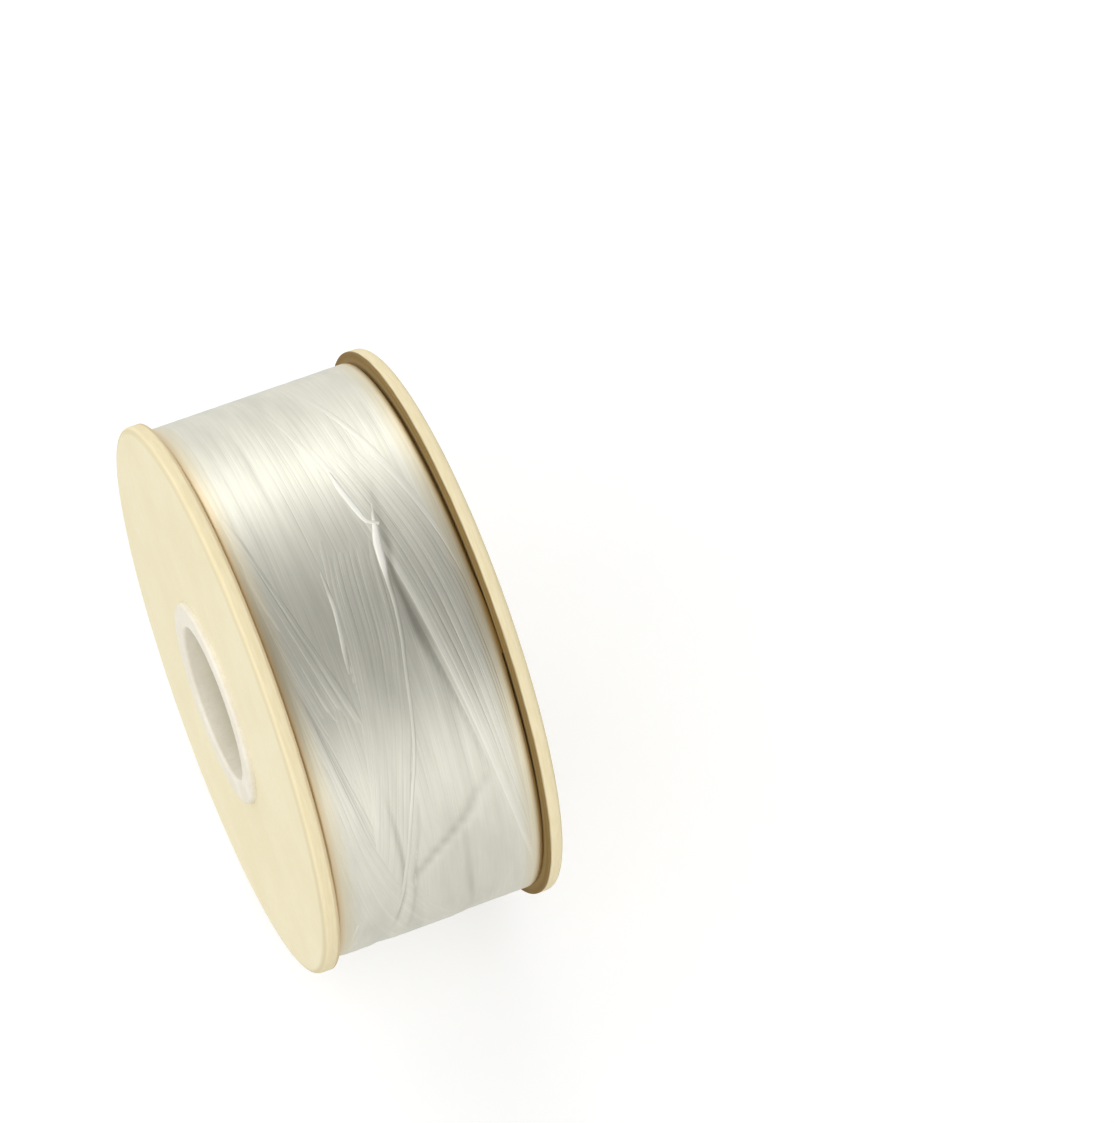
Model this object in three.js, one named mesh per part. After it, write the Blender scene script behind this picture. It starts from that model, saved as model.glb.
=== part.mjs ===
// A small card-sided spool of beading thread, standing on the rims of its two flanges.
//
// Millimetres, +Z up. The spool's axis lies along X and its left flange faces -X.
// The origin is on the ground, under the middle of the spool.
import * as THREE from "three";

// Flanges: two discs of card with a hole for the core tube.
const flangeRadius = 10.3;
const flangeThickness = 0.6;
const flangeEdgeRound = 0.09;
const threadSpace = 7.85; // between the flanges' inner faces

// Core tube: a paper tube whose two ends are rolled outwards over the flanges.
const boreRadius = 2.86;
const tubeWall = 0.61;
const lipOverhang = 0.32; // how far a rolled lip reaches over the card
const lipThickness = 0.2;
const mouthRound = 0.1; // the rounded edge between the bore and the top of the lip

// Thread: a wound pack with rounded shoulders, and the turns that lie on top of it.
const threadDiameter = 0.25;
const turnGap = 0.43; // bare pack between two neighbouring turns
const rimInset = 0.15; // how far the outermost turns lie below the flanges' rims
const turnStart = 215; // degrees round from the top: both thread ends lie low at the back
const shoulderWidth = 0.4;
const shoulderDepth = 0.8;

// Fits
const seatClearance = 0.02; // between pieces that touch on the real spool

// Facets
const turnedSides = 72; // round every turned piece, with one facet flat on the ground
const roundSteps = 3; // along a quarter of a rounded edge
const mouthSteps = 5;
const shoulderSteps = 5;
const stepsPerTurn = 24;
const threadSides = 6;

const tubeRadius = boreRadius + tubeWall;
const holeRadius = tubeRadius + seatClearance;
const lipRadius = tubeRadius + lipOverhang;
const faceHeight = threadSpace / 2 + flangeThickness; // a flange's outer face, from the middle
const axisHeight = flangeRadius * Math.cos(Math.PI / turnedSides);

const card = new THREE.MeshStandardMaterial({ color: 0xf3e6be, roughness: 0.85, metalness: 0 });
const paper = new THREE.MeshStandardMaterial({ color: 0xece7dc, roughness: 0.8, metalness: 0 });
const thread = new THREE.MeshStandardMaterial({ color: 0xd6d3c4, roughness: 0.45, metalness: 0 });

// Points on a quarter of an ellipse, from one angle to another in degrees.
function rounded(across, along, acrossRadius, alongRadius, fromDegrees, toDegrees, steps) {
  const points = [];
  for (let step = 0; step <= steps; step += 1) {
    const angle = THREE.MathUtils.degToRad(
      THREE.MathUtils.lerp(fromDegrees, toDegrees, step / steps),
    );
    points.push(
      new THREE.Vector2(
        across + acrossRadius * Math.cos(angle),
        along + alongRadius * Math.sin(angle),
      ),
    );
  }
  return points;
}

// The same outline below the middle plane, so that a profile is the same at both ends.
function mirrored(points) {
  return points.map((point) => new THREE.Vector2(point.x, -point.y)).reverse();
}

// A closed outline turned about the spool's axis.
function turned(name, outline, material) {
  const geometry = new THREE.LatheGeometry(
    [...outline, outline[0].clone()],
    turnedSides,
    Math.PI / turnedSides,
  );
  const mesh = new THREE.Mesh(geometry, material);
  mesh.name = name;
  return mesh;
}

// A card disc, with its inner face on the plane of its own zero.
function flange(name) {
  const edgeCentre = flangeRadius - flangeEdgeRound;
  const round = flangeEdgeRound;
  const innerEdge = rounded(edgeCentre, round, round, round, -90, 0, roundSteps);
  const outerEdge = rounded(edgeCentre, flangeThickness - round, round, round, 0, 90, roundSteps);
  const outline = [
    new THREE.Vector2(holeRadius, 0),
    ...innerEdge,
    ...outerEdge,
    new THREE.Vector2(holeRadius, flangeThickness),
  ];
  return turned(name, outline, card);
}

// The tube through the hole of both flanges, with a rolled lip at each end.
function coreTube() {
  const lipUnderside = faceHeight + seatClearance;
  const lipTop = lipUnderside + lipThickness;
  const edgeRound = lipThickness / 2;
  const lipEdge = lipRadius - edgeRound;
  const mouthEdge = boreRadius + mouthRound;
  const end = [
    new THREE.Vector2(tubeRadius, lipUnderside),
    ...rounded(lipEdge, lipTop - edgeRound, edgeRound, edgeRound, -90, 90, 2 * roundSteps),
    ...rounded(mouthEdge, lipTop - mouthRound, mouthRound, mouthRound, 90, 180, mouthSteps),
  ];
  return turned("core_tube", [...end, ...mirrored(end)], paper);
}

// The turns bend in facets, so the pack stays below the middle of each straight step.
const turnRadius = flangeRadius - rimInset - threadDiameter / 2;
const packRadius =
  turnRadius * Math.cos(Math.PI / stepsPerTurn) - threadDiameter / 2 - seatClearance;
const packHalfWidth = threadSpace / 2 - seatClearance;
const levelHalfWidth = packHalfWidth - shoulderWidth; // where the pack is still a plain cylinder

// The inner layers of thread, as the solid that they fill.
function threadPack() {
  const innerRadius = tubeRadius + seatClearance;
  const shoulder = rounded(
    packRadius - shoulderDepth,
    levelHalfWidth,
    shoulderDepth,
    shoulderWidth,
    0,
    90,
    shoulderSteps,
  );
  const end = [...shoulder, new THREE.Vector2(innerRadius, packHalfWidth)];
  return turned("thread_pack", [...mirrored(end), ...end], thread);
}

// The middle line of the outermost turns: a helix that starts and ends with a straight stretch.
const turns = Math.floor((2 * levelHalfWidth) / (threadDiameter + turnGap));

function turnLine() {
  const points = [];
  const steps = turns * stepsPerTurn;
  for (let step = 0; step <= steps; step += 1) {
    const angle = THREE.MathUtils.degToRad(turnStart + (step / stepsPerTurn) * 360);
    const along = THREE.MathUtils.lerp(-levelHalfWidth, levelHalfWidth, step / steps);
    points.push(
      new THREE.Vector3(turnRadius * Math.sin(angle), along, turnRadius * Math.cos(angle)),
    );
  }
  const first = points[0].clone().sub(points[1]).setLength(threadDiameter);
  const last = points[steps].clone().sub(points[steps - 1]).setLength(threadDiameter);
  return [points[0].clone().add(first), ...points, points[steps].clone().add(last)];
}

// The narrowest bare stretch between any two turns, measured between points of the line.
function leastGap(line) {
  let least = Infinity;
  line.forEach((point, index) => {
    for (let other = index + stepsPerTurn / 2; other < line.length; other += 1) {
      least = Math.min(least, point.distanceTo(line[other]) - threadDiameter);
    }
  });
  return least;
}

// One unbroken round thread along a line of points, closed by a flat cap at each end.
function threadTurns() {
  const line = turnLine();
  console.log(`thread_turns: ${turns} turns, least gap ${leastGap(line).toFixed(3)} mm`);
  const corners = [];
  const faces = [];
  line.forEach((point, index) => {
    const before = line[Math.max(index - 1, 0)];
    const after = line[Math.min(index + 1, line.length - 1)];
    const forward = after.clone().sub(before).normalize();
    const outward = new THREE.Vector3(point.x, 0, point.z);
    outward.addScaledVector(forward, -outward.dot(forward)).normalize();
    const sideways = new THREE.Vector3().crossVectors(forward, outward);
    for (let side = 0; side < threadSides; side += 1) {
      const angle = (side / threadSides) * 2 * Math.PI;
      const corner = point
        .clone()
        .addScaledVector(outward, (threadDiameter / 2) * Math.cos(angle))
        .addScaledVector(sideways, (threadDiameter / 2) * Math.sin(angle));
      corners.push(corner.x, corner.y, corner.z);
    }
  });
  for (let ring = 0; ring < line.length - 1; ring += 1) {
    for (let side = 0; side < threadSides; side += 1) {
      const here = ring * threadSides + side;
      const next = ring * threadSides + ((side + 1) % threadSides);
      faces.push(here, next, next + threadSides);
      faces.push(here, next + threadSides, here + threadSides);
    }
  }
  const lastRing = (line.length - 1) * threadSides;
  for (let side = 1; side < threadSides - 1; side += 1) {
    faces.push(0, side + 1, side);
    faces.push(lastRing, lastRing + side, lastRing + side + 1);
  }
  const geometry = new THREE.BufferGeometry();
  geometry.setAttribute("position", new THREE.Float32BufferAttribute(corners, 3));
  geometry.setIndex(faces);
  geometry.computeVertexNormals();
  const mesh = new THREE.Mesh(geometry, thread);
  mesh.name = "thread_turns";
  return mesh;
}

const rightFlange = flange("right_flange");
rightFlange.position.y = threadSpace / 2;

const leftFlange = flange("left_flange");
leftFlange.rotation.x = Math.PI;
leftFlange.position.y = -threadSpace / 2;

const spool = new THREE.Group();
spool.add(coreTube(), leftFlange, rightFlange, threadPack(), threadTurns());
spool.rotation.z = -Math.PI / 2; // the turned axis is laid along X
spool.position.z = axisHeight;

export default spool;
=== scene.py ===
import math

import bpy
import numpy as np
from mathutils import Matrix, Vector


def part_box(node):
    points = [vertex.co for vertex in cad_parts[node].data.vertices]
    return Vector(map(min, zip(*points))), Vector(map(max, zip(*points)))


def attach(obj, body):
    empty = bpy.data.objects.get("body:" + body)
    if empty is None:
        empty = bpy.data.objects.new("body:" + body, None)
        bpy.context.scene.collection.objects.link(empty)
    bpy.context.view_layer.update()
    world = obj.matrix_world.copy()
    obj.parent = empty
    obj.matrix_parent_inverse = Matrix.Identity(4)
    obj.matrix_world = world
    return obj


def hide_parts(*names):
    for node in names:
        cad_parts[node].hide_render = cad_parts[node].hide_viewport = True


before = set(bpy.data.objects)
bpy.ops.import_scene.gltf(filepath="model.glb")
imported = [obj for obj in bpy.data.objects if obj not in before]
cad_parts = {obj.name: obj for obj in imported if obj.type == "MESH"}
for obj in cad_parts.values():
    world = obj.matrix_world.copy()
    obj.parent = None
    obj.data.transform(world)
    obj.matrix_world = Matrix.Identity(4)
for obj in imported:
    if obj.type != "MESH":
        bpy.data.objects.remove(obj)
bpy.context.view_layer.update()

mm = 0.001
leftLow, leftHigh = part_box("left_flange")
rightLow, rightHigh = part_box("right_flange")
tubeLow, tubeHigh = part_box("core_tube")
axisHeight = (leftLow.z + leftHigh.z) / 2
centre = (0, 0, axisHeight)                    # the middle of the spool
flangeRadius = (leftHigh.z - leftLow.z) / 2
leftFace, leftInner = leftLow.x, leftHigh.x    # outer and inner face of the left flange
rightInner, rightFace = rightLow.x, rightHigh.x
lipTop = tubeHigh.x
lipRadius = (tubeHigh.z - tubeLow.z) / 2
lipOverhang = 0.32 * mm                        # how far a rolled lip reaches over the card
tubeOuter = lipRadius - lipOverhang
clear = 0.02 * mm                              # between pieces that touch on the real spool
print("frame: flanges", round(2 * flangeRadius / mm, 2), "mm across, axis at", round(axisHeight / mm, 2))


def deselectAll():
    if bpy.context.object and bpy.context.object.mode == "EDIT":
        bpy.ops.object.mode_set(mode="OBJECT")
    bpy.ops.object.select_all(action="DESELECT")


def choose(piece):
    deselectAll()
    piece.select_set(True)
    bpy.context.view_layer.objects.active = piece


def settle(piece):
    # the finished piece's object goes to the origin, with its place in its mesh
    choose(piece)
    bpy.ops.object.transform_apply(location=True, rotation=True, scale=True)


def applyModifier(piece, kind, **settings):
    choose(piece)
    modifier = piece.modifiers.new(kind.lower(), kind)
    for name, value in settings.items():
        setattr(modifier, name, value)
    bpy.ops.object.modifier_apply(modifier=modifier.name)


def quarter(across, along, acrossRadius, alongRadius, fromDegrees, toDegrees, steps):
    # points of an ellipse's quarter, as (radius from the axis, place along the axis)
    points = []
    for step in range(steps + 1):
        angle = math.radians(fromDegrees + (toDegrees - fromDegrees) * step / steps)
        points.append((across + acrossRadius * math.cos(angle), along + alongRadius * math.sin(angle)))
    return points


def turnOutline(name, outline, sides):
    # a ring of vertices is drawn out along the outline, ring after ring, and closed on its start
    deselectAll()
    firstRadius, firstAlong = outline[0]
    bpy.ops.mesh.primitive_circle_add(vertices=sides, radius=firstRadius, fill_type="NOTHING",
                                      location=(firstAlong, 0, axisHeight),
                                      rotation=(0, math.pi / 2, 0))
    piece = bpy.context.object
    piece.name = name
    bpy.ops.object.mode_set(mode="EDIT")
    bpy.ops.mesh.select_all(action="SELECT")
    here = outline[0]
    for radius, along in outline[1:] + outline[:1]:
        bpy.ops.mesh.extrude_region_move(TRANSFORM_OT_translate={"value": (along - here[1], 0, 0)})
        grow = radius / here[0]
        bpy.ops.transform.resize(value=(1, grow, grow), center_override=(along, 0, axisHeight))
        here = (radius, along)
    bpy.ops.mesh.select_all(action="SELECT")
    bpy.ops.mesh.remove_doubles(threshold=0.0005 * mm)
    bpy.ops.mesh.normals_make_consistent(inside=False)
    bpy.ops.object.mode_set(mode="OBJECT")
    settle(piece)
    bpy.ops.object.shade_smooth_by_angle(angle=math.radians(40))
    return piece


def vertexArray(piece):
    places = np.empty(len(piece.data.vertices) * 3)
    piece.data.vertices.foreach_get("co", places)
    return places.reshape(-1, 3)


def moveVertices(piece, places):
    piece.data.vertices.foreach_set("co", places.ravel())
    piece.data.update()


class Wire:
    # one socket of a material, on which Python's operators add Math nodes
    def __init__(self, tree, socket):
        self.tree = tree
        self.socket = socket

    def math(self, operation, *others):
        node = self.tree.nodes.new("ShaderNodeMath")
        node.operation = operation
        for slot, value in enumerate((self,) + others):
            join(self.tree, node.inputs[slot], value)
        return Wire(self.tree, node.outputs[0])

    def __add__(self, other):
        return self.math("ADD", other)

    __radd__ = __add__

    def __sub__(self, other):
        return self.math("SUBTRACT", other)

    def __rsub__(self, other):
        return (self * -1.0) + other

    def __mul__(self, other):
        return self.math("MULTIPLY", other)

    __rmul__ = __mul__

    def clamped(self):
        return self.math("MINIMUM", 1.0).math("MAXIMUM", 0.0)

    def smooth(self, low, high):
        # 0 at low, 1 at high and an even rise between, where low may be the larger number
        return ((self - low) * (1.0 / (high - low))).clamped()


def join(tree, socket, value):
    if isinstance(value, Wire):
        tree.links.new(value.socket, socket)
    else:
        socket.default_value = value


class Finish:
    # a material with its Principled shader, and one method that adds any other node
    def __init__(self, name, **fixed):
        self.material = bpy.data.materials.new(name)
        self.material.use_nodes = True
        self.tree = self.material.node_tree
        self.shader = self.tree.nodes["Principled BSDF"]
        for socket, value in fixed.items():
            self.shader.inputs[socket.replace("_", " ")].default_value = value

    def add(self, kind, settings=None, sockets=None, output=0):
        node = self.tree.nodes.new(kind)
        for name, value in (settings or {}).items():
            setattr(node, name, value)
        for name, value in (sockets or {}).items():
            join(self.tree, node.inputs[name], value)
        return Wire(self.tree, node.outputs[output])

    def place(self, scale=(1, 1, 1)):
        # Object coordinates in millimetres, measured from the middle of the spool
        where = self.add("ShaderNodeTexCoord", output="Object")
        factors = [value / mm for value in scale]
        offset = (0, 0, -axisHeight * factors[2])
        return self.add("ShaderNodeMapping", sockets={"Vector": where, "Scale": factors, "Location": offset})

    def strandPlace(self, scale):
        # millimetres along a strand, and the strand's own number
        where = self.add("ShaderNodeUVMap", {"uv_map": "strand"})
        return self.add("ShaderNodeMapping", sockets={"Vector": where, "Scale": scale})

    def noise(self, where, size=1.0, detail=2.0, roughness=0.5):
        return self.add("ShaderNodeTexNoise", sockets={"Vector": where, "Scale": size, "Detail": detail,
                                                       "Roughness": roughness})

    def mix(self, factor, first, second):
        colours = [(*value, 1) if isinstance(value, tuple) else value for value in (first, second)]
        # a colour Mix has its factor in socket 0, its colours in 6 and 7 and its result in 2
        return self.add("ShaderNodeMix", {"data_type": "RGBA"},
                        {0: factor, 6: colours[0], 7: colours[1]}, output=2)

    def radius(self, where):
        # distance from the spool's axis, which runs along X
        flat = self.add("ShaderNodeVectorMath", {"operation": "MULTIPLY"}, {0: where, 1: (0, 1, 1)})
        return self.add("ShaderNodeVectorMath", {"operation": "LENGTH"}, {0: flat}, output="Value")

    def bump(self, height, depth):
        relief = self.add("ShaderNodeBump", sockets={"Height": height, "Distance": depth,
                                                     "Strength": 0.5})
        self.feed("Normal", relief)

    def feed(self, socket, value):
        join(self.tree, self.shader.inputs[socket], value)


cardLook = {
    "cream": ((0.855, 0.775, 0.535), (0.88, 0.805, 0.575)),   # cloudy, between these two
    "fibres": (0.82, 0.72, 0.47),
    "cutEdge": ((0.87, 0.755, 0.475), (0.915, 0.81, 0.54)),   # the plies that show at the rim
    "edgeShade": (0.74, 0.65, 0.42),                            # painted shade along the rounded outer edge of a face
    # painted shade in the gap beside the winding, on the left and the right flange
    "leftGapShade": (0.7, 0.56, 0.34),
    "rightGapShade": ((0.44, 0.31, 0.13), (0.25, 0.16, 0.05)),    # painted shade, deep in the gap, and at the rim
    "cutBand": (0.075, 0.02),     # mm below the rim at which a tone starts, and at which it is full
    "edgeShadeBand": (0.26, 0.12),
    "rightGapShadeBand": (0.45, 0.15),
    "gapShadeMaskBand": (0.15, 0.09),   # mm from the inner face, into the thickness of the board, that the painted shade covers
    "relief": 0.02 * mm,
}


def cardFinish():
    # cream all over, but painted brown shade on the inner face and the edge beside it, where the gap to the
    # winding lies in shade
    look = cardLook
    finish = Finish("creamCard", Specular_IOR_Level=0.3)
    where = finish.place()
    radius = finish.radius(where)

    def nearRim(band):
        return radius.smooth(*[flangeRadius / mm - below for below in look[band]])

    fibres = finish.noise(where, 5.0, detail=4.0, roughness=0.62)
    clouds = finish.noise(where, 0.33, detail=3.0)
    plies = finish.noise(finish.place(scale=(14, 1.2, 1.2)), detail=3.0)
    rim = nearRim("cutBand")
    face = finish.mix(clouds.smooth(0.38, 0.62), *look["cream"])
    face = finish.mix(fibres.smooth(0.42, 0.75) * 0.3, face, look["fibres"])
    # painted shade along the rounded outer edge of each face
    face = finish.mix(nearRim("edgeShadeBand"), face, look["edgeShade"])
    cut = finish.mix(plies.smooth(0.35, 0.65), *look["cutEdge"])
    tone = finish.mix(rim, face, cut)
    along = finish.add("ShaderNodeSeparateXYZ", sockets={0: where})
    fromInner = along.math("ABSOLUTE") - rightInner / mm
    # painted shade on the inner face and the edge beside it, darker on the right
    gapShadeMask = (fromInner + plies * 0.04).smooth(*look["gapShadeMaskBand"])
    rightGapShade = finish.mix(nearRim("rightGapShadeBand"), *look["rightGapShade"])
    gapShade = finish.mix(along.smooth(-1.0, 1.0), look["leftGapShade"], rightGapShade)
    finish.feed("Base Color", finish.mix(gapShadeMask, tone, gapShade))
    finish.bump(fibres * 0.6 + plies * rim * 1.6 + clouds * 0.5, look["relief"])
    finish.feed("Roughness", 0.72 + fibres * 0.16)
    return finish.material


paperLook = {
    "white": ((0.83, 0.775, 0.66), (0.88, 0.84, 0.73)),   # cloudy, between these two
    "fibres": (0.74, 0.68, 0.54),
    "deep": (0.46, 0.44, 0.28),                           # painted shade inside the bore
    "boreShadeBand": (0.25, 1.1),                              # mm in from the top of the lip
    "relief": 0.02 * mm,
}


def paperFinish():
    look = paperLook
    finish = Finish("whitePaper", Specular_IOR_Level=0.3)
    where = finish.place()
    fibres = finish.noise(where, 6.0, detail=4.0, roughness=0.6)
    clouds = finish.noise(where, 0.7, detail=2.0)
    tone = finish.mix(clouds.smooth(0.35, 0.65), *look["white"])
    tone = finish.mix(fibres.smooth(0.45, 0.7) * 0.3, tone, look["fibres"])
    fromMiddle = finish.add("ShaderNodeSeparateXYZ", sockets={0: where}).math("ABSOLUTE")
    # painted shade, coming in deeper inside the bore
    inside = fromMiddle.smooth(*[lipTop / mm - below for below in look["boreShadeBand"]])
    finish.feed("Base Color", finish.mix(inside * 0.5, tone, look["deep"]))
    finish.bump(fibres + clouds * 0.8, look["relief"])
    finish.feed("Roughness", 0.62 + fibres * 0.2)
    return finish.material


threadLook = {
    "silver": ((0.765, 0.745, 0.63), (0.815, 0.795, 0.68)),
    "filaments": (0.84, 0.825, 0.72),
    "clouds": (0.74, 0.735, 0.65),
    "streaks": (0.62, 0.61, 0.52),
    "creaseShade": (0.2, 0.19, 0.14),                            # painted shade at the bottom of a dent
    "paleAndHighlight": (0.93, 0.915, 0.84),                          # paler strands, and painted highlight where strands catch the light
    "cardBounce": (0.8, 0.68, 0.42),                            # painted light bounced off the cream card, near a flange
    "flangeGapShade": ((0.72, 0.58, 0.36), (0.48, 0.34, 0.13)),    # painted shade right beside the left and right flange
    "cardBounceBand": (3.1, 3.7),                               # mm from the middle
    "flangeGapShadeBand": (3.58, 3.84),
    "relief": 0.008 * mm,
}


def threadFinish(name, follow, streaks, filaments):
    # flat nylon: soft sheen, with fine filaments along each strand, or round the pack
    look = threadLook
    finish = Finish(name)
    place = finish.strandPlace if follow == "strand" else finish.place
    clouds = finish.noise(finish.place(), 0.4)
    slow = finish.noise(place(streaks), detail=2.0)
    fine = finish.noise(place(filaments), detail=3.0)
    broad = finish.noise(finish.place(scale=(1.2, 0.22, 0.22)), detail=3.0)
    tone = finish.mix(slow.smooth(0.3, 0.7), *look["silver"])
    tone = finish.mix(fine.smooth(0.35, 0.65), tone, look["filaments"])
    tone = finish.mix(clouds.smooth(0.3, 0.7) * 0.35, tone, look["clouds"])
    tone = finish.mix(broad.smooth(0.42, 0.66) * 0.4, tone, look["streaks"])
    creaseShade = finish.add("ShaderNodeAttribute", {"attribute_name": "creaseShade"}, output="Fac")
    paleAndHighlight = finish.add("ShaderNodeAttribute", {"attribute_name": "paleAndHighlight"}, output="Fac")
    # painted shade at the bottom of dents
    tone = finish.mix(creaseShade, tone, look["creaseShade"])
    # paler strands and painted highlight
    tone = finish.mix(paleAndHighlight, tone, look["paleAndHighlight"])
    along = finish.add("ShaderNodeSeparateXYZ", sockets={0: finish.place()})
    fromMiddle = along.math("ABSOLUTE")
    # painted shade in the gap right beside either flange
    flangeGapShade = finish.mix(along.smooth(-1.0, 1.0), *look["flangeGapShade"])
    # painted light bounced off the cream card, towards either flange
    tone = finish.mix(fromMiddle.smooth(*look["cardBounceBand"]) * 0.6, tone, look["cardBounce"])
    tone = finish.mix(fromMiddle.smooth(*look["flangeGapShadeBand"]), tone, flangeGapShade)
    finish.feed("Base Color", tone)
    finish.feed("Metallic", 0.78 - paleAndHighlight * 0.6)
    finish.bump(slow + fine, look["relief"])
    finish.feed("Roughness", 0.38 + fine * 0.2)
    return finish.material


card = cardFinish()
paper = paperFinish()
nylon = threadFinish("nylonThread", "strand", (0.3, 1.7, 1), (0.35, 6.3, 1))
packNylon = threadFinish("nylonPack", "pack", (9, 0.35, 0.35), (40, 1.6, 1.6))
print("finishes: card, paper and nylon thread")


flangeMake = {
    "edgeRound": (0.05 * mm, 0.22 * mm),   # the cut edge beside the winding, and outside
    "edgeSteps": (5, 8),
    "faceRings": (0, 0.12, 0.25, 0.4, 0.55, 0.7, 0.85, 0.95),   # shares of a face's width
    "sides": 240,
}


def makeFlange(name, node, inner, outer):
    side = 1 if outer > inner else -1
    thick = abs(outer - inner)
    hole = tubeOuter + clear
    sharp, soft = flangeMake["edgeRound"]
    sharpSteps, softSteps = flangeMake["edgeSteps"]
    faceEnd = flangeRadius - soft
    faceRadii = [hole + (faceEnd - hole) * share for share in flangeMake["faceRings"]]
    innerEdge = quarter(flangeRadius - sharp, sharp, sharp, sharp, -90, 0, sharpSteps)
    outerEdge = quarter(faceEnd, thick - soft, soft, soft, 0, 90, softSteps)
    outline = [(radius, inner) for radius in faceRadii]
    outline += [(radius, inner + side * along) for radius, along in innerEdge + outerEdge]
    outline += [(radius, outer) for radius in reversed(faceRadii)]
    piece = turnOutline(name, outline, flangeMake["sides"])
    piece.data.materials.append(card)
    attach(piece, "root")
    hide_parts(node)
    return piece


makeFlange("cardFlangeLeft", "left_flange", leftInner, leftFace)
makeFlange("cardFlangeRight", "right_flange", rightInner, rightFace)
print("flanges: two card discs")


coreMake = {
    "bore": 2.86 * mm,
    "curl": 0.14 * mm,         # the rounded edge from the bore out to the top of the lip
    "curlSteps": 10,
    "lipRound": 0.13 * mm,     # the outer edge of the lip, which is pressed flat onto the card
    "lipSteps": 8,
    "wallRings": (0.5, 0.25, 0, -0.25, -0.5),   # along the bore, as shares of its half length
    "sides": 192,
}


def makeCore():
    edge = coreMake["lipRound"]
    curl = coreMake["curl"]
    bore = coreMake["bore"]
    end = [(tubeOuter, rightFace), (lipRadius, rightFace)]
    end += quarter(lipRadius - edge, lipTop - edge, edge, edge, 0, 90, coreMake["lipSteps"])
    end += quarter(bore + curl, lipTop - curl, curl, curl, 90, 180, coreMake["curlSteps"])
    wall = [(bore, lipTop * share) for share in coreMake["wallRings"]]
    outline = end + wall + [(radius, -along) for radius, along in reversed(end)]
    piece = turnOutline("paperCore", outline, coreMake["sides"])
    piece.data.materials.append(paper)
    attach(piece, "root")
    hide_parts("core_tube")


makeCore()
print("core: one paper tube with rolled lips")


windMake = {
    "top": flangeRadius - 0.15 * mm,      # outermost turns, just below the rims
    "ground": 0.2 * mm,                   # the even winding lies this far below the top
    "width": 0.25 * mm,                   # one thread, pressed flat
    "thick": 0.022 * mm,
    "shoulder": (0.16 * mm, 0.22 * mm),   # where it falls away beside the left and right flange
    "shoulderDeep": (0.14 * mm, 0.15 * mm),
    "edge": (3.905 * mm, 3.91 * mm),      # how far it reaches towards the left and right flange
    "rings": 180,                         # along one strand
    "corners": 8,                         # round one strand
    "foot": 0.4,                          # how far a strand's underside reaches down, in its thickness
    "footSpread": (2.2, 0.75),            # how much wider the underside is, and at most
    "seed": 11,
}
groundRadius = windMake["top"] - windMake["ground"]
chance = np.random.default_rng(windMake["seed"])


def shoulderDrop(x):
    # how far the winding falls away towards either flange
    right = x > 0
    wide = np.where(right, windMake["shoulder"][1], windMake["shoulder"][0])
    deep = np.where(right, windMake["shoulderDeep"][1], windMake["shoulderDeep"][0])
    reach = np.where(right, windMake["edge"][1], windMake["edge"][0])
    beyond = np.clip((np.abs(x) - reach + wide) / wide, 0, 0.99)
    return deep * (1 - np.sqrt(1 - beyond ** 2))


packMake = {
    "below": 0.15 * mm,                   # the pack lies this far below the even winding
    "level": 3.4 * mm,                    # half the length over which it is a plain cylinder
    "levelRings": 20,
    "shoulderSteps": 10,
    "sides": 160,
}


def makePack():
    # the inner layers, as the body that they fill, with rounded shoulders
    half = rightInner - clear
    outer = groundRadius - packMake["below"]
    sides = []
    for wide, deep, reach in zip(windMake["shoulder"], windMake["shoulderDeep"], windMake["edge"]):
        side = quarter(outer - deep, reach - wide, deep, wide, 0, 90, packMake["shoulderSteps"])
        sides.append(side + [(outer - deep - clear, half), (tubeOuter + clear, half)])
    left, right = sides
    level = [(outer, along) for along in np.linspace(packMake["level"], -packMake["level"],
                                                     packMake["levelRings"] + 1)]
    outline = right[::-1] + level + [(radius, -along) for radius, along in left]
    piece = turnOutline("threadPack", outline, packMake["sides"])
    piece.data.materials.append(packNylon)
    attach(piece, "root")
    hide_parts("thread_pack")


makePack()


def makeBar():
    # one strand, one unit long and thick, as a closed bar along Y
    rings = windMake["rings"]
    deselectAll()
    bpy.ops.mesh.primitive_circle_add(vertices=windMake["corners"], radius=0.5, fill_type="NGON",
                                      rotation=(math.pi / 2, 0, 0))
    bar = bpy.context.object
    bar.name = "threadBar"
    bpy.ops.object.mode_set(mode="EDIT")
    bpy.ops.mesh.select_all(action="SELECT")
    for ring in range(rings):
        bpy.ops.mesh.extrude_region_move(TRANSFORM_OT_translate={"value": (0, 1 / rings, 0)})
    bpy.ops.mesh.select_all(action="SELECT")
    bpy.ops.mesh.normals_make_consistent(inside=False)
    bpy.ops.object.mode_set(mode="OBJECT")
    settle(bar)
    bpy.ops.object.shade_smooth()
    return bar


bar = makeBar()


def throughPoints(points, at):
    # a smooth line through (degrees round, mm along) points, without overshoot
    known = np.array([point[0] for point in points], float)
    value = np.array([point[1] for point in points], float)
    step = np.diff(known)
    slope = np.diff(value) / step
    turn = np.zeros(len(points))
    turn[1:-1] = np.where(slope[:-1] * slope[1:] > 0,
                          2 * slope[:-1] * slope[1:] / (slope[:-1] + slope[1:] + 1e-12), 0)
    turn[0], turn[-1] = slope[0], slope[-1]
    spot = np.clip(np.searchsorted(known, at, side="right") - 1, 0, len(step) - 1)
    part = np.clip((at - known[spot]) / step[spot], 0, 1)
    start = value[spot] * (2 * part ** 3 - 3 * part ** 2 + 1)
    end = value[spot + 1] * (3 * part ** 2 - 2 * part ** 3)
    bend = turn[spot] * (part ** 3 - 2 * part ** 2 + part) + turn[spot + 1] * (part ** 3 - part ** 2)
    return start + end + bend * step[spot]
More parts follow.
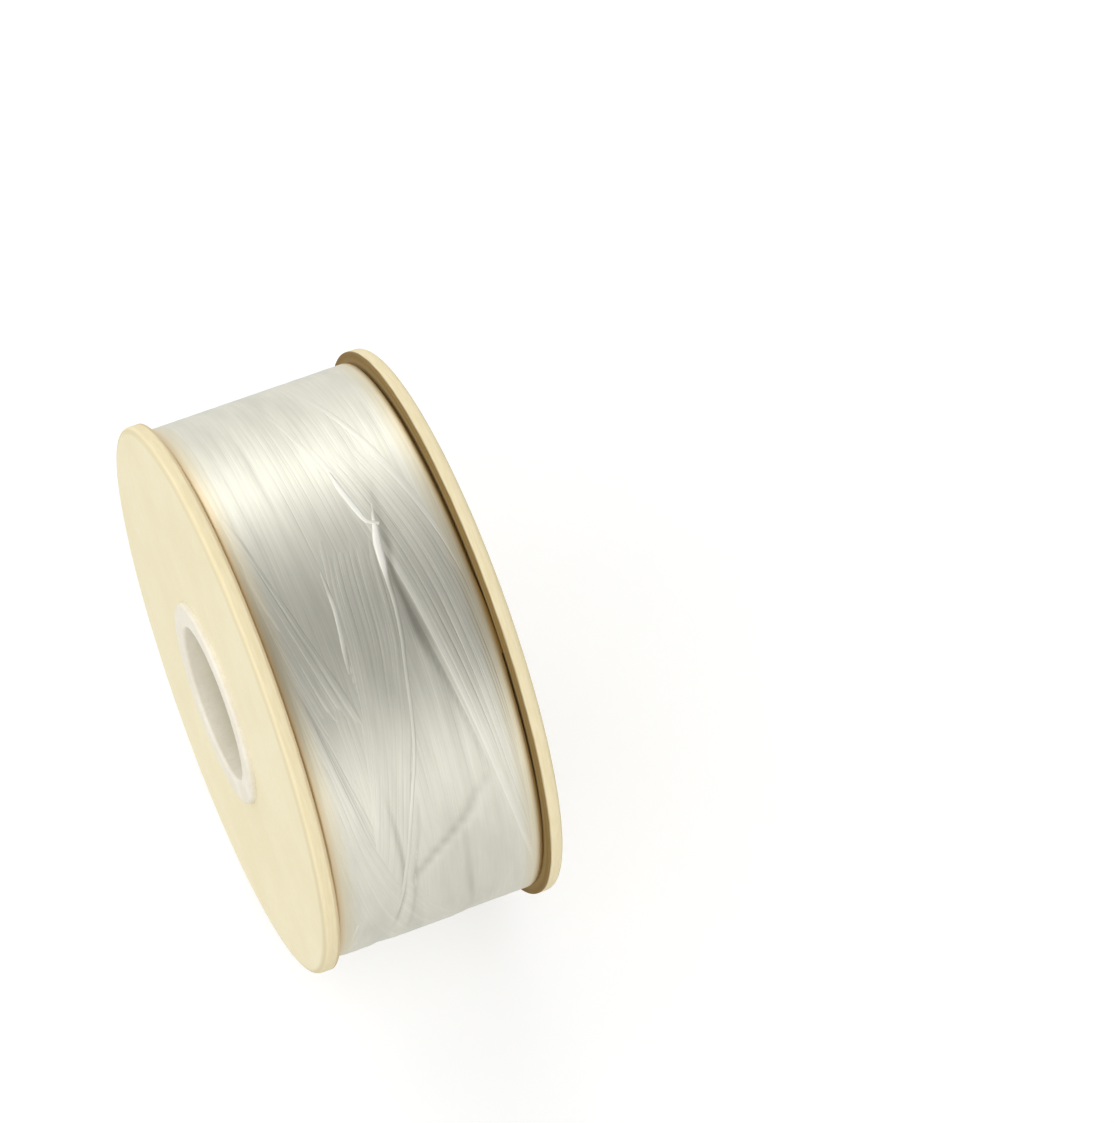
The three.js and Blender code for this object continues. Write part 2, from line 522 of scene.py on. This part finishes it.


# Soft dents where two groups lie apart or one dives under another. Less light reaches them, and
# one flank may catch more of it, so they get painted shade and that flank a painted highlight.
# Lines are (degrees round, mm along), "wide" is in mm and "share" is how much of the depth is
# there. The groups in "over" lie on top of the dent.
creases = {
    "besideStray": {
        "deep": 0.03, "creaseShade": 0.7, "over": (),
        "line": [(-8, 1.8), (0, 1.54), (6, 1.44), (13, 1.22), (18, 1.28), (22, 1.33), (27, 1.44),
                 (33, 1.64), (41, 1.87), (48, 2.08), (58, 2.36)],
        "wide": [(-8, 0.14), (5, 0.18), (12, 0.11), (18, 0.15), (25, 0.22), (32, 0.12), (40, 0.08),
                 (58, 0.07)],
        "share": [(-10, 0), (-3, 0.3), (3, 0.6), (10, 0.9), (24, 0.9), (30, 0.6), (40, 0.45), (50, 0.3),
                  (58, 0)],
    },
    "lowerCross": {
        "deep": 0.02, "creaseShade": 0.27, "over": ("threadLeftLower",), "flankHighlight": 0.2, "beside": 0.4,
        "line": [(55, 2.75), (58, 2.35), (61, 1.72), (66, 1.2), (70, 0.5), (73, -0.05), (77, -0.7),
                 (82, -1.1)],
        "wide": [(55, 0.14), (66, 0.24), (82, 0.18)],
        "share": [(56, 0), (61, 0.6), (67, 1), (76, 1), (81, 0)],
    },
    "leftSeam": {
        "deep": 0.03, "creaseShade": 0.38, "over": (), "flankHighlight": 0.2, "beside": 0.16,
        "line": [(52, -1.45), (59, -1.4), (73, -1.3), (80, -1.35), (90, -1.6), (98, -1.8)],
        "wide": [(52, 0.06), (75, 0.08), (98, 0.07)],
        "share": [(52, 0), (60, 0.4), (72, 1), (88, 0.9), (98, 0)],
    },
    "ladderRight": {
        "deep": 0.02, "creaseShade": 0.22, "over": (),
        "line": [(56, -0.3), (62, -0.43), (75, -0.84), (86, -1.0), (97, -1.14), (104, -1.25)],
        "wide": [(56, 0.06), (104, 0.07)],
        "share": [(56, 0), (62, 0.7), (80, 1), (97, 0.6), (104, 0)],
    },
    "rightSeam": {
        "deep": 0.01, "creaseShade": 0.2, "over": (),
        "line": [(66, 1.05), (81, 1.06), (90, 1.15), (100, 1.3), (110, 1.4)],
        "wide": [(66, 0.1), (110, 0.14)],
        "share": [(66, 0), (74, 0.7), (92, 1), (110, 0)],
    },
}


def creaseField(name, x, turned):
    # how deep each point lies in the dents, and how much painted shade and painted highlight it gets there
    around = (np.degrees(turned) + 180) % 360 - 180
    deep, creaseShade, flankHighlight = np.zeros_like(x), np.zeros_like(x), np.zeros_like(x)
    for make in creases.values():
        if name not in make["over"]:
            aside = x / mm - throughPoints(make["line"], around)
            wide = throughPoints(make["wide"], around)
            share = throughPoints(make["share"], around)
            dent = share * np.exp(-(aside / wide) ** 2)
            deep += dent * make["deep"] * mm
            # painted shade at the bottom of the dent
            creaseShade += dent * make["creaseShade"]
            # painted highlight on one flank of the dent
            flank = np.exp(-((aside - make.get("beside", 0)) / wide) ** 2)
            flankHighlight += share * flank * make.get("flankHighlight", 0)
    return deep, creaseShade, flankHighlight


def layStrands(name, around, along, level, width=1.0, thick=1.0, paleAndHighlight=0.0, loose=False):
    # around, along and level have one row for each strand and one column for each ring
    count = len(around)
    deselectAll()
    piece = bar.copy()
    piece.data = bar.data.copy()
    piece.name = name
    piece.data.name = name
    bpy.context.scene.collection.objects.link(piece)
    applyModifier(piece, "ARRAY", count=count, use_relative_offset=False, use_merge_vertices=False)
    places = vertexArray(piece)
    strand = np.arange(len(places)) // (len(places) // count)
    ring = np.rint(places[:, 1] * windMake["rings"]).astype(int)
    arc = np.radians(around) * groundRadius
    alongArc = np.gradient(arc, axis=1)
    alongX = np.gradient(along, axis=1)
    length = np.hypot(alongArc, alongX)
    thick = np.broadcast_to(thick, around.shape)[strand, ring]
    wide = windMake["width"] * np.broadcast_to(width, around.shape)[strand, ring]
    # the underside comes down to the even winding, so that no strand floats over a crack
    under = places[:, 2] < -0.01
    foot = np.clip(level[strand, ring], 0, None) + windMake["foot"] * windMake["thick"]
    spread, most = windMake["footSpread"]
    across = np.where(under, np.clip(places[:, 0] * spread, -most, most), places[:, 0]) * wide
    proud = np.where(under, -foot, places[:, 2] * windMake["thick"] * thick)
    x = along[strand, ring] + across * (alongArc / length)[strand, ring]
    turned = (arc[strand, ring] - across * (alongX / length)[strand, ring]) / groundRadius
    deep, creaseShade, flankHighlight = creaseField(name, x, turned)
    if loose:
        deep, creaseShade, flankHighlight = 0 * deep, 0 * creaseShade, 0 * flankHighlight
    radius = groundRadius + level[strand, ring] + proud - shoulderDrop(x) - deep
    places = np.stack([x, -radius * np.sin(turned), axisHeight + radius * np.cos(turned)], axis=1)
    moveVertices(piece, places)
    choose(piece)
    bpy.ops.object.mode_set(mode="EDIT")
    bpy.ops.mesh.select_all(action="SELECT")
    bpy.ops.mesh.normals_make_consistent(inside=False)
    bpy.ops.object.mode_set(mode="OBJECT")
    bpy.ops.object.shade_smooth_by_angle(angle=math.radians(60))
    run = np.cumsum(length, axis=1) / mm
    sheet = piece.data.uv_layers.new(name="strand")
    corner = np.empty(len(piece.data.loops), int)
    piece.data.loops.foreach_get("vertex_index", corner)
    # one unit across the sheet for each strand, and a start of its own for each group
    side = strand + across / windMake["width"] * 0.8 + chance.uniform(0, 50)
    flat = np.stack([run[strand, ring], side], axis=1)
    sheet.data.foreach_set("uv", flat[corner].ravel())
    # paler strands, plus the painted highlight on the flanks of dents
    paleAndHighlight = np.clip(np.broadcast_to(paleAndHighlight, around.shape)[strand, ring] + flankHighlight, 0, 1)
    for tone, values in {"creaseShade": creaseShade, "paleAndHighlight": paleAndHighlight}.items():
        tint = piece.data.attributes.new(tone, "FLOAT", "POINT")
        tint.data.foreach_set("value", values.astype(np.float32))
    piece.data.materials.append(nylon)
    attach(piece, "root")
    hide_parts("thread_turns")
    print(name, count, "strands", len(piece.data.polygons), "faces")
    return piece


def waver(count, size, waves):
    # a slow wander of each strand along its length
    part = np.linspace(0, 1, windMake["rings"] + 1)
    total = np.zeros((count, len(part)))
    for wave in range(1, waves + 1):
        pace = chance.uniform(0.6, 1.5, (count, 1)) * wave
        shift = chance.uniform(0, 1, (count, 1))
        total += chance.normal(0, 1, (count, 1)) * np.sin(2 * math.pi * (pace * part + shift)) / wave
    return total * size


groundMake = {
    "pitch": 0.15 * mm,
    "halfSpan": 3.78 * mm,
    "start": 205,               # degrees round from the top at which the first turn starts
    "sway": (0.22, 0.1),        # mm that a turn swings along the axis, once and twice in a turn
    "swayShift": 0.6,
    # waves in a turn, their size in mm and their shift
    "ripple": ((1.37, 0.022, 0), (2.61, 0.016, 1)),
    "lift": ((1.73, 0.0025, 2), (3.17, 0.002, 0)),
    "thick": 0.4,
}


def waveSum(run, waves):
    return sum(size * np.sin(pace * run + shift) for pace, size, shift in waves)


def makeGround():
    # even winding below the crossing strands: each turn starts where the last one ended
    span = groundMake["halfSpan"]
    turns = int(2 * span / groundMake["pitch"])
    part = np.linspace(0, 1, windMake["rings"] + 1)
    count = np.arange(turns)[:, None]
    around = groundMake["start"] + 360 * np.broadcast_to(part, (turns, len(part)))
    along = -span + groundMake["pitch"] * (count + part)
    swing = np.radians(around)
    room = 1 - (along / (span * 1.05)) ** 4     # less sway near the flanges
    once, twice = groundMake["sway"]
    sway = once * np.sin(swing - groundMake["swayShift"]) + twice * np.sin(2 * swing + along / mm)
    run = swing + 2 * math.pi * count
    along = along + room * mm * (sway + waveSum(run, groundMake["ripple"]))
    height = mm * waveSum(run, groundMake["lift"])
    layStrands("threadGround", around, along, height, thick=groundMake["thick"])


makeGround()

# Crossing strands, from the lowest group to the highest. Each group fills the room between two
# lines of (degrees round from the top towards the front, mm along the axis). Its height over the
# even winding is a line too, and "edges" is the share of it that the two outer strands reach.
groups = {
    "threadLeftUpper": {
        "count": 14,
        "edges": (0.2, 0.2),
        "paleAndHighlight": 0.6,
        "first": [(-50, -3.78), (-35, -3.72), (-20, -3.55), (-10, -3.38), (0, -3.14), (7, -2.92),
                  (13, -2.7), (18, -2.5), (22, -2.32), (33, -1.8), (50, -0.9), (70, 0.4), (95, 1.8),
                  (120, 3.3), (140, 3.78)],
        "last": [(-5, -3.78), (10, -3.64), (20, -3.46), (25, -3.34), (33, -3.1), (40, -2.82),
                 (50, -2.35), (62, -1.7), (80, -0.4), (100, 1.2), (125, 3.2), (145, 3.78)],
        "height": [(-50, -0.01), (-30, 0.015), (0, 0.028), (20, 0.026), (32, 0.005), (45, -0.03),
                   (145, -0.03)],
    },
    "threadMiddle": {
        "count": 18,
        "edges": (0.1, 1.0),
        "paleAndHighlight": 0.45,
        "first": [(-60, 0.1), (-20, -0.35), (5, -0.88), (13, -1.1), (25, -1.25), (50, -1.75),
                  (67, -2.3), (85, -2.9), (105, -3.5), (125, -3.78)],
        "last": [(-60, 2.0), (-35, 1.9), (-20, 1.75), (-5, 1.5), (1, 1.3), (8, 1.08), (12, 1.0),
                 (25, 0.72), (32, 0.42), (41, 0.07), (50, -0.38), (57, -0.68), (67, -0.99), (85, -1.59),
                 (105, -2.2), (130, -3.2), (155, -3.78)],
        "height": [(-60, -0.08), (-4, -0.03), (8, 0.006), (20, 0.026), (50, 0.03), (90, 0.03),
                   (155, 0)],
    },
    "threadRight": {
        "count": 22,
        "edges": (0.0, 0.2),
        "paleAndHighlight": 0.65,
        "first": [(-175, -3.78), (-150, -2.2), (-125, -0.7), (-90, 0.3), (-60, 0.9), (-35, 1.55),
                  (-25, 1.98), (-12, 2.56), (0, 3.08), (10, 3.45), (22, 3.7), (35, 3.78)],
        "last": [(-165, -3.78), (-140, -2.7), (-110, -1.6), (-60, -0.6), (-35, -0.1), (-20, 0.3),
                 (-5, 0.75), (5, 1.05), (12, 1.26), (20, 1.48), (25, 1.61), (30, 1.75), (36, 1.92),
                 (45, 2.17), (51, 2.33), (58, 2.5), (75, 3.05), (90, 3.45), (120, 3.78)],
        "height": [(-175, 0), (-150, 0.03), (-90, 0.02), (-60, -0.02), (-26, -0.015), (-4, 0.015),
                   (14, 0.03), (40, 0.028), (60, 0.015), (120, 0)],
    },
    "threadLeftLower": {
        "count": 20,
        "edges": (0.2, 0.2),
        "paleAndHighlight": 0.4,
        "first": [(-20, -3.78), (5, -3.7), (19, -3.5), (35, -3.12), (45, -2.82), (55, -2.47),
                  (65, -2.1), (72, -1.72), (80, -1.25), (90, -0.5), (107, 0.8), (130, 2.3), (155, 3.4),
                  (175, 3.78)],
        "last": [(20, -3.78), (60, -3.66), (80, -3.35), (95, -2.8), (110, -2.0), (130, -0.7),
                 (150, 0.8), (175, 2.5), (195, 3.5), (215, 3.78)],
        "height": [(-20, 0), (20, 0.015), (38, 0.028), (60, 0.04), (140, 0.045), (215, 0)],
    },
}

# Strands that lie loose on top of the rest. Each value is a line of (degrees round, value), with
# "line" and "height" in mm, "width" and "thick" in threads and "paleAndHighlight" as a share, a
# painted highlight where a strand catches the light.
strays = {
    "threadStrayLong": {
        "width": [(-8, 0.3), (-1, 0.4), (1.5, 0.6), (5, 0.85), (10, 0.75), (13, 0.5), (40, 0.45),
                  (140, 0.5)],
        "line": [(-8, 1.78), (-4, 1.58), (-1, 1.42), (1, 1.33), (3, 1.25), (6, 1.12), (11, 1.0),
                 (13, 0.96), (18, 0.9), (25, 0.72), (29, 0.57), (34, 0.4), (39, 0.25), (47, -0.03),
                 (57, -0.52), (67, -0.93), (85, -1.53), (110, -2.4), (140, -3.5)],
        "height": [(-8, -0.02), (-3, 0.008), (1, 0.025), (3, 0.045), (6, 0.055), (12, 0.05),
                   (16, 0.033), (30, 0.03), (60, 0.032), (95, 0.035), (140, 0)],
        "thick": [(-8, 1), (0, 1), (3, 1.6), (6, 1.9), (10, 1.7), (14, 1), (140, 1)],
        "paleAndHighlight": [(-8, 0), (-4, 0.1), (0, 0.25), (2, 0.8), (4, 0.9), (10, 0.9), (12.5, 0.6), (15, 0.25),
                 (25, 0.2), (45, 0.2), (60, 0.1), (140, 0)],
    },
    "threadStrayShort": {
        "width": [(-30, 0.4), (-12, 0.5), (-8, 0.65), (-2, 0.6), (2, 0.4)],
        "line": [(-30, 0.4), (-20, 0.54), (-9, 0.7), (-6, 0.79), (-1.5, 0.96), (0.6, 1.08), (1.3, 1.25),
                 (2, 1.46)],
        "height": [(-30, -0.03), (-15, -0.01), (-9, 0.04), (-1, 0.055), (2, 0.045)],
        "thick": [(-30, 1), (-8, 1.2), (1.5, 1.2)],
        "paleAndHighlight": [(-30, 0), (-13, 0.15), (-8, 0.9), (0, 0.9), (2, 0.5)],
    },
    "threadStrayLeft": {
        "width": [(4, 0.35), (14, 0.5), (22, 0.5), (30, 0.35)],
        "line": [(4, -0.98), (9, -1.1), (14, -1.1), (20, -1.2), (25, -1.33), (30, -1.43)],
        "height": [(4, -0.02), (12, 0.015), (15, 0.028), (23, 0.028), (27, 0.01), (30, -0.02)],
        "thick": [(4, 1), (30, 1)],
        "paleAndHighlight": [(4, 0.1), (8, 0.2), (11, 0.1), (14, 0.4), (22, 0.35), (26, 0.15), (30, 0)],
    },
}


layMake = {
    "waves": 3,
    "wander": 0.018 * mm,       # how far a strand wanders along the axis
    "lift": 0.003 * mm,         # and up and down along its length
    "uneven": 0.002 * mm,       # how far whole strands lie above or below each other
    "still": 3.74 * mm,         # from here to a flange no strand wanders
    "keepOff": 0.09 * mm,       # the middle of a strand stays this far inside the winding's edge
    "edgeStrands": 3,           # over so many strands a group rises from its edge
    "sinkFrom": 3.2 * mm,       # close to a flange a strand sinks into the even winding
    "sinkOver": 0.4 * mm,
    "sinkDeep": 0.016 * mm,
    "width": (0.6, 0.85),
    "thick": 0.6,
}


def makeGroup(name, make):
    count = make["count"]
    first, last = make["first"], make["last"]
    part = np.linspace(0, 1, windMake["rings"] + 1)
    number = np.arange(count)[:, None]
    share = number / (count - 1)
    starts = first[0][0] + (last[0][0] - first[0][0]) * share
    ends = first[-1][0] + (last[-1][0] - first[-1][0]) * share
    around = starts + (ends - starts) * part
    # the strands between the two lines share out the room evenly
    along = (throughPoints(first, around) * (1 - share) + throughPoints(last, around) * share) * mm
    room = 1 - np.clip(np.abs(along) / layMake["still"], 0, 1) ** 6
    along = along + waver(count, layMake["wander"], layMake["waves"]) * room
    leftEdge, rightEdge = [edge - layMake["keepOff"] for edge in windMake["edge"]]
    along = np.clip(along, -leftEdge, rightEdge)
    atFirst, atLast = make["edges"]
    fromFirst = np.minimum(number / layMake["edgeStrands"], 1)
    fromLast = np.minimum((count - 1 - number) / layMake["edgeStrands"], 1)
    rise = np.minimum(atFirst + (1 - atFirst) * fromFirst, atLast + (1 - atLast) * fromLast)
    height = throughPoints(make["height"], around) * rise * mm
    height = height + waver(count, layMake["lift"], layMake["waves"])
    height = height + chance.normal(0, layMake["uneven"], (count, 1))
    sunk = np.clip((np.abs(along) - layMake["sinkFrom"]) / layMake["sinkOver"], 0, 1)
    height = height * (1 - sunk) - layMake["sinkDeep"] * sunk
    # a few strands of a group are pale, and only over a part of their length
    paleAndHighlight = make["paleAndHighlight"] * chance.uniform(0, 1, (count, 1)) ** 4
    paleAndHighlight = paleAndHighlight * np.clip(0.7 + waver(count, 0.3, layMake["waves"]), 0, 1)
    width = chance.uniform(*layMake["width"], (count, 1))
    layStrands(name, around, along, height, width, layMake["thick"], paleAndHighlight)


def makeStray(name, make):
    line = make["line"]
    around = np.linspace(line[0][0], line[-1][0], windMake["rings"] + 1)[None, :]
    along = throughPoints(line, around) * mm
    height = throughPoints(make["height"], around) * mm
    width = throughPoints(make["width"], around)
    thick = throughPoints(make["thick"], around)
    paleAndHighlight = throughPoints(make["paleAndHighlight"], around)
    layStrands(name, around, along, height, width, thick, paleAndHighlight, loose=True)


for name, make in groups.items():
    makeGroup(name, make)
for name, make in strays.items():
    makeStray(name, make)
bpy.data.objects.remove(bar)
print("thread: even winding, crossing groups and loose strands")


viewMake = {
    "direction": (-0.1678, -0.4201, 0.8918),   # from the spool to the camera
    "distance": 0.2044,
    "lens": 183.2,                             # mm, on a sensor as wide as the photograph is high
    "sensor": 36,
    "clip": (0.01, 50),
    "photoWide": 1114,
    "photoHigh": 1123,
    "spoolAt": (335.9, 660.4),                 # the spool's centre in the photograph
}


def makeCamera():
    data = bpy.data.cameras.new("camera")
    camera = bpy.data.objects.new("camera", data)
    bpy.context.scene.collection.objects.link(camera)
    bpy.context.scene.camera = camera
    data.lens = viewMake["lens"]
    data.sensor_width = viewMake["sensor"]
    data.clip_start, data.clip_end = viewMake["clip"]
    back = Vector(viewMake["direction"]).normalized()
    right = Vector((0, 0, 1)).cross(back).normalized()
    up = back.cross(right)
    focal = viewMake["lens"] / viewMake["sensor"] * viewMake["photoHigh"]
    aside = (viewMake["spoolAt"][0] - viewMake["photoWide"] / 2) / focal
    below = (viewMake["spoolAt"][1] - viewMake["photoHigh"] / 2) / focal
    # the camera turns a little, so that the spool stands left of the middle and below it
    turn = Matrix.Rotation(math.atan(aside), 3, up) @ Matrix.Rotation(math.atan(below), 3, right)
    axes = Matrix((turn @ right, turn @ up, turn @ back)).transposed().to_4x4()
    camera.matrix_world = Matrix.Translation(Vector(centre) + back * viewMake["distance"]) @ axes


makeCamera()


floorMake = {
    "size": 1.3,        # it ends before the lamps do, so that no unlit strip shows behind them
    "grey": 0.6,
    "seen": 0.5,        # added where the camera sees it
    "mirrored": 0.26,   # added where the thread mirrors it
}


def makeFloor():
    deselectAll()
    bpy.ops.mesh.primitive_plane_add(size=floorMake["size"], location=(0, 0, 0))
    floor = bpy.context.object
    floor.name = "floor"
    grey = floorMake["grey"]
    finish = Finish("paleFloor", Roughness=0.9, Specular_IOR_Level=0.1, Emission_Strength=1.0,
                    Base_Color=(grey, grey, grey, 1))
    seen = finish.add("ShaderNodeLightPath", output="Is Camera Ray") * floorMake["seen"]
    mirrored = finish.add("ShaderNodeLightPath", output="Is Glossy Ray") * floorMake["mirrored"]
    finish.feed("Emission Color", finish.mix((seen + mirrored).clamped(), (0, 0, 0), (1, 1, 1)))
    floor.data.materials.append(finish.material)


makeFloor()


# A lamp without gloss lights the card evenly, but draws no bright line on the edge of a strand.
lamps = {
    "backLamp": {"towards": (-0.1, 0.84, 0.57), "distance": 0.5, "wide": 0.6, "high": 0.2, "power": 0.9,
                 "gloss": True},
    "upperLamp": {"towards": (0.0, 0.42, 0.9), "distance": 0.6, "wide": 0.9, "high": 0.3, "power": 0.38,
                  "gloss": True},
    "frontLamp": {"towards": (0.0, -0.93, 0.26), "distance": 0.7, "wide": 1.2, "high": 0.42, "power": 0.94,
                  "gloss": True},
    "leftLamp": {"towards": (-0.8, -0.2, 0.6), "distance": 0.7, "wide": 1.0, "high": 0.8, "power": 2.6,
                 "gloss": False},
    "topLamp": {"towards": (0.1, -0.45, 0.89), "distance": 0.7, "wide": 0.6, "high": 0.6, "power": 1.1,
                "gloss": False},
    "rightLamp": {"towards": (1.0, 0.0, 0.05), "distance": 0.7, "wide": 0.8, "high": 0.1, "power": 2.2,
                  "gloss": False},
}


def makeLamp(name, make):
    data = bpy.data.lights.new(name, "AREA")
    data.shape = "RECTANGLE"
    data.size = make["wide"]
    data.size_y = make["high"]
    data.energy = make["power"]
    lamp = bpy.data.objects.new(name, data)
    bpy.context.scene.collection.objects.link(lamp)
    away = Vector(make["towards"]).normalized()
    lamp.location = Vector(centre) + away * make["distance"]
    lamp.rotation_euler = away.to_track_quat("Z", "Y").to_euler()
    lamp.visible_glossy = make["gloss"]


for name, make in lamps.items():
    makeLamp(name, make)


worldMake = {
    "horizon": 1.0,
    "overhead": 0.23,
    "rise": (0.15, 0.75),   # height of a direction at which it starts and stops going darker
    "right": 0.8,           # how much of the light is missing on the right
    "rightRise": (0.0, 0.8),
}


def makeWorld():
    world = bpy.data.worlds.new("studio")
    bpy.context.scene.world = world
    world.use_nodes = True
    tree = world.node_tree
    sky = tree.nodes["Background"]
    where = tree.nodes.new("ShaderNodeTexCoord")
    parts = tree.nodes.new("ShaderNodeSeparateXYZ")
    tree.links.new(where.outputs["Generated"], parts.inputs[0])
    height = Wire(tree, parts.outputs["Z"])
    aside = Wire(tree, parts.outputs["X"])
    seen = Wire(tree, tree.nodes.new("ShaderNodeLightPath").outputs["Is Camera Ray"])
    fall = height.smooth(*worldMake["rise"]) * (worldMake["overhead"] - worldMake["horizon"])
    missing = aside.smooth(*worldMake["rightRise"]) * worldMake["right"]
    level = (fall + worldMake["horizon"]) * (1 - missing)
    join(tree, sky.inputs["Strength"], level.math("MAXIMUM", seen))   # white where the camera sees it
    sky.inputs["Color"].default_value = (1, 1, 1, 1)


makeWorld()
bpy.context.scene.view_settings.view_transform = "Standard"
print("camera, floor and lamps")
